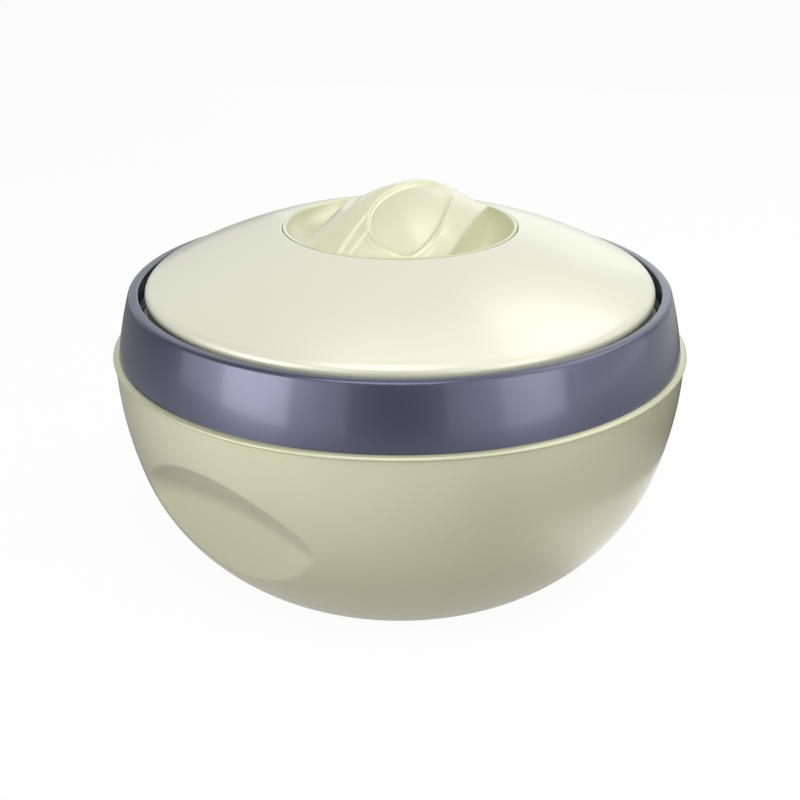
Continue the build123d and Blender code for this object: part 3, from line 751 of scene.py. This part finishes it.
def foldDrop(shape, along, aside, reach):
    # How far the swirl's folds step the near right of the bar down, outside of the hollow
    drop = 0.0
    for place, angle, depth in shape["folds"]:
        right = (place + along * math.tan(math.radians(angle)) - aside) * math.cos(math.radians(angle))
        drop = drop + depth * np.clip(right / shape["foldWidth"], 0, 1)
    return drop * fadeIn(reach, *shape["foldReach"])


def barHeight(shape, along, aside):
    # Top of the bar above the grip's top: ridge, two crowned slopes, hollows and flared sides
    half = shape["barHalf"]
    arch = 1 - along**2 / np.maximum(shape["radius"] ** 2 - aside**2, shape["archLeast"] ** 2)
    middle = -along * math.tan(math.radians(shape["ridgeTwist"]))
    left = np.clip((aside - middle - shape["ridgeHalf"]) / (half - middle - shape["ridgeHalf"]), 0, 1)
    right = np.clip((middle - shape["ridgeHalf"] - aside) / (middle - shape["ridgeHalf"] + half), 0, 1)
    height = softMin(barSlope(shape, left, arch), barSlope(shape, right, arch), shape["ridgeBlend"])
    for side in (1, -1):
        hollow, rim, reach = thumbHollow(shape, side * along, side * aside, arch)
        rimShare, foldShare = (fadeIn(-side * along, *shape[key]) for key in ("rimFade", "foldFade"))
        height = height + rimShare * rim - foldShare * foldDrop(shape, side * along, side * aside, reach)
        height = softMin(height, hollow, shape["thumbEdge"])
    low = shape["floor"] - shape["wall"] / 2 - shape["top"]
    bend, foot = (half + shape["flareBend"], 0.0), (half + shape["flare"], 0.0)
    flare = np.array(curvePoints((half, 1.0), bend, foot, shape["flareSteps"]))
    drop = np.interp(np.abs(aside), flare[:, 0], flare[:, 1])
    return np.where(np.abs(aside) > half, low + (height - low) * drop, height)


def makeGrip(shape):
    radius, top = shape["radius"], shape["top"]
    rings = np.linspace(0, radius, shape["rings"])
    turns = np.array(evenTurns(shape["steps"]))
    ringGrid, turnGrid = np.meshgrid(rings, turns)
    along, aside = ringGrid * np.cos(turnGrid), ringGrid * np.sin(turnGrid)
    edge, inner = radius - shape["lip"], shape["floorRadius"]
    dish = np.array(curvePoints((edge, top), shape["bend"], (inner, shape["floor"]), shape["dishSteps"]))
    dishHeight = np.interp(ringGrid, dish[::-1, 0], dish[::-1, 1])
    blend = shape["rootBlend"] * np.clip((edge - ringGrid) / shape["rootFade"], shape["rootLeast"], 1)
    height = softMax(dishHeight, top + barHeight(shape, along, aside), blend)
    out, down = shape["underBend"]
    bend = (shape["bend"][0] + out * shape["wall"], shape["bend"][1] - down * shape["wall"])
    floorUnder, shaft, shaftLow = shape["floor"] - shape["wall"], shape["shaftRadius"], shape["shaftLow"]
    under = curvePoints((radius, shape["lipLow"]), bend, (inner, floorUnder), shape["underSteps"])
    under += [(shaft, floorUnder), (shaft, shaftLow), (0, shaftLow)]
    verts, faces = [], []
    lines = len(rings) + len(under)
    rest = math.radians(shape["angle"])
    for i, turn in enumerate(turns):
        angle = turn + rest
        line = list(zip(rings, height[i])) + under
        verts += [(r * math.cos(angle), r * math.sin(angle), z) for r, z in line]
        near, far = i * lines, (i + 1) % len(turns) * lines
        faces += [(near + j, far + j, far + j + 1, near + j + 1) for j in range(lines - 1)]
    half = shape["tenonHalf"]
    start = len(verts)
    for z in (shape["tenonLow"], shaftLow + shape["tenonOverlap"]):
        for x, y in ((half, half), (-half, half), (-half, -half), (half, -half)):
            verts.append((x * math.cos(rest) - y * math.sin(rest), x * math.sin(rest) + y * math.cos(rest), z))
    faces += [tuple(start + k for k in quad) for quad in
              ((0, 1, 2, 3), (4, 5, 6, 7), (0, 1, 5, 4), (1, 2, 6, 5), (2, 3, 7, 6), (3, 0, 4, 7))]
    return addPiece("swirlGrip", verts, faces, "grip", "grip", "turn_grip", crease=50.0)


makeGrip(gripShape)
print("grip made")


# Studio: floor, lamps, surroundings and camera
studio = {
    "cameraAzimuth": -50.4, "cameraElevation": 23.36, "cameraDistance": 0.650, "lens": 59.7,
    "target": (0.0, 0.0, 0.0747), "sensor": 36.0, "clipStart": 0.01,
    "lampAim": (0, 0, 0.12), "lampDistance": 1.25,
    "floorRadius": 6.0, "floorCorners": 96, "floorHeight": -0.0002,
    "floorColor": 0.92, "bounceColor": 0.38,      # as seen, and for the light it sends back
    "floorLift": 0.95,                            # white share as seen
    "ambient": 0.04, "overhead": 0.40,            # light all round, and more of it from above
    "skyRise": (0.1, 0.85),                       # where it grows from the one to the other
    "leftDim": 0.3, "leftTurn": -75, "leftSpread": (-0.1, 0.6),   # share of it that is left on the left
    "sheet": 0.80, "sheetTurn": 180, "sheetSpread": (0.2, 0.9),   # white sheet behind the object, for gloss
}
lamps = {  # turn from the camera, elevation, size, radiance
    "frontHigh": {"turn": -10, "rise": 52, "size": (0.90, 0.70), "radiance": 3.0},
    "leftFront": {"turn": -54, "rise": 8, "size": (0.62, 0.60), "radiance": 5.1},
    "leftSide": {"turn": -78, "rise": 8, "size": (0.50, 0.60), "radiance": 1.7},
    "leftEdge": {"turn": -28, "rise": 8, "size": (0.42, 0.60), "radiance": 1.3},
    "rightEdge": {"turn": 27, "rise": 8, "size": (0.46, 0.60), "radiance": 1.2},
    "rightFront": {"turn": 50, "rise": 8, "size": (0.56, 0.60), "radiance": 3.2},
    "rightSide": {"turn": 88, "rise": 8, "size": (1.00, 0.60), "radiance": 0.9},
    "rightMiddle": {"turn": 58, "rise": 32, "size": (1.10, 0.42), "radiance": 1.4},
    "rightHigh": {"turn": 110, "rise": 50, "size": (1.00, 0.70), "radiance": 2.0},
    "back": {"turn": 172, "rise": 10, "size": (0.90, 0.60), "radiance": 0.55},
    "top": {"turn": 0, "rise": 86, "size": (0.80, 0.80), "radiance": 0.7},
}
patches = {  # floor that gloss mirrors as white: turn, where it sets in that way, where it ends all round, share
    "frontLeft": {"turn": -37, "start": (0.08, 0.27), "end": (0.36, 0.55), "share": 1.0},
    "rightStrip": {"turn": 110, "start": (0.03, 0.09), "end": (0.165, 0.190), "share": 1.0},
    "farRight": {"turn": 112, "start": (0.35, 0.60), "end": (2.0, 3.0), "share": 0.50},
    "underWall": {"turn": 0, "start": (-2.0, -1.0), "end": (0.090, 0.155), "share": 0.45},
}
darkCard = {"turn": 125, "start": (0.17, 0.23), "end": (0.35, 0.50), "share": 0.9}  # floor that gloss mirrors as dark


def aim(thing, spot):
    thing.rotation_euler = (Vector(spot) - thing.location).to_track_quat("-Z", "Y").to_euler()


def aroundObject(turn, distance, height):
    # A place at this turn to the right of the camera
    angle = math.radians(studio["cameraAzimuth"] + turn)
    return Vector((distance * math.sin(angle), -distance * math.cos(angle), height))


def makeCamera():
    view = bpy.data.cameras.new("photoView")
    view.lens = studio["lens"]
    view.sensor_width = studio["sensor"]
    view.clip_start = studio["clipStart"]
    camera = bpy.data.objects.new("photoView", view)
    scene.collection.objects.link(camera)
    lift = math.radians(studio["cameraElevation"])
    flat = studio["cameraDistance"] * math.cos(lift)
    camera.location = aroundObject(0, flat, studio["target"][2] + studio["cameraDistance"] * math.sin(lift))
    aim(camera, studio["target"])
    scene.camera = camera


def makeLamp(name, lamp):
    light = bpy.data.lights.new(name, "AREA")
    light.shape = "RECTANGLE"
    light.size, light.size_y = lamp["size"]
    light.energy = lamp["radiance"] * math.pi * lamp["size"][0] * lamp["size"][1]
    box = bpy.data.objects.new(name, light)
    scene.collection.objects.link(box)
    rise, distance = math.radians(lamp["rise"]), studio["lampDistance"]
    height = studio["lampAim"][2] + distance * math.sin(rise)
    box.location = aroundObject(lamp["turn"], distance * math.cos(rise), height)
    aim(box, studio["lampAim"])


def rayKinds(tree):
    # Rays that show the backdrop: straight to the camera, and mirrored or refracted by the object
    path = addNode(tree, "ShaderNodeLightPath").outputs
    return path["Is Camera Ray"], addMath(tree, "MAXIMUM", path["Is Glossy Ray"], path["Is Transmission Ray"])


def towards(tree, place, turn):
    # How far a place or direction goes this way
    way = addNode(tree, "ShaderNodeVectorMath", operation="DOT_PRODUCT")
    tree.links.new(place, way.inputs[0])
    way.inputs[1].default_value = aroundObject(turn, 1.0, 0.0)
    return way.outputs["Value"]


def floorShare(tree, place, patch):
    # How much of a patch there is at this place of the floor
    spread = addNode(tree, "ShaderNodeVectorMath", operation="LENGTH")
    tree.links.new(place, spread.inputs[0])
    begun = addRange(tree, towards(tree, place, patch["turn"]), *patch["start"], 0.0, patch["share"])
    return addMath(tree, "MULTIPLY", begun, addRange(tree, spread.outputs["Value"], *patch["end"], 1.0, 0.0))


def makeFloor():
    corners, radius = studio["floorCorners"], studio["floorRadius"]
    bpy.ops.mesh.primitive_circle_add(vertices=corners, radius=radius, fill_type="NGON")
    floor = bpy.context.object
    floor.name = "studioFloor"
    floor.location.z = studio["floorHeight"]
    material = bpy.data.materials.new("studioFloor")
    material.use_nodes = True
    tree = material.node_tree
    tree.nodes.clear()
    direct, mirrored = rayKinds(tree)
    place = addNode(tree, "ShaderNodeTexCoord").outputs["Object"]
    white = addMath(tree, "MULTIPLY", direct, studio["floorLift"])
    for patch in patches.values():
        white = addMath(tree, "MAXIMUM", white, addMath(tree, "MULTIPLY", mirrored, floorShare(tree, place, patch)))
    dark = addMath(tree, "MULTIPLY", mirrored, floorShare(tree, place, darkCard))
    matt = addNode(tree, "ShaderNodeBsdfDiffuse")
    shades = [(studio[key],) * 3 + (1,) for key in ("bounceColor", "floorColor")]
    plain = addMix(tree, direct, *shades)
    tree.links.new(addMix(tree, dark, plain, (0, 0, 0, 1)), matt.inputs["Color"])
    glow = addNode(tree, "ShaderNodeEmission")
    mixer = addNode(tree, "ShaderNodeMixShader")
    output = addNode(tree, "ShaderNodeOutputMaterial")
    tree.links.new(white, mixer.inputs[0])
    tree.links.new(matt.outputs[0], mixer.inputs[1])
    tree.links.new(glow.outputs[0], mixer.inputs[2])
    tree.links.new(mixer.outputs[0], output.inputs["Surface"])
    floor.data.materials.append(material)


def makeSurroundings():
    # White where the camera sees it, soft light from above, less of it on the left, and a sheet that gloss mirrors
    world = bpy.data.worlds.new("studioWorld")
    scene.world = world
    world.use_nodes = True
    tree = world.node_tree
    sky = tree.nodes["Background"]
    sky.inputs["Color"].default_value = (1, 1, 1, 1)
    direct, mirrored = rayKinds(tree)
    way = addNode(tree, "ShaderNodeTexCoord").outputs["Generated"]
    apart = addNode(tree, "ShaderNodeSeparateXYZ")
    tree.links.new(way, apart.inputs[0])
    above = addRange(tree, apart.outputs["Z"], *studio["skyRise"], studio["ambient"], studio["overhead"])
    left, back = (towards(tree, way, studio[turn]) for turn in ("leftTurn", "sheetTurn"))
    dim = addRange(tree, left, *studio["leftSpread"], 1.0, studio["leftDim"])
    above = addMath(tree, "MULTIPLY", above, dim)
    sheet = addRange(tree, back, *studio["sheetSpread"], 0.0, studio["sheet"])
    level = addMath(tree, "MAXIMUM", above, addMath(tree, "MULTIPLY", mirrored, sheet))
    tree.links.new(addMath(tree, "MAXIMUM", level, direct), sky.inputs["Strength"])


makeCamera()
for name, lamp in lamps.items():
    makeLamp(name, lamp)
makeFloor()
makeSurroundings()
scene.view_settings.view_transform = "Standard"
print("studio ready")
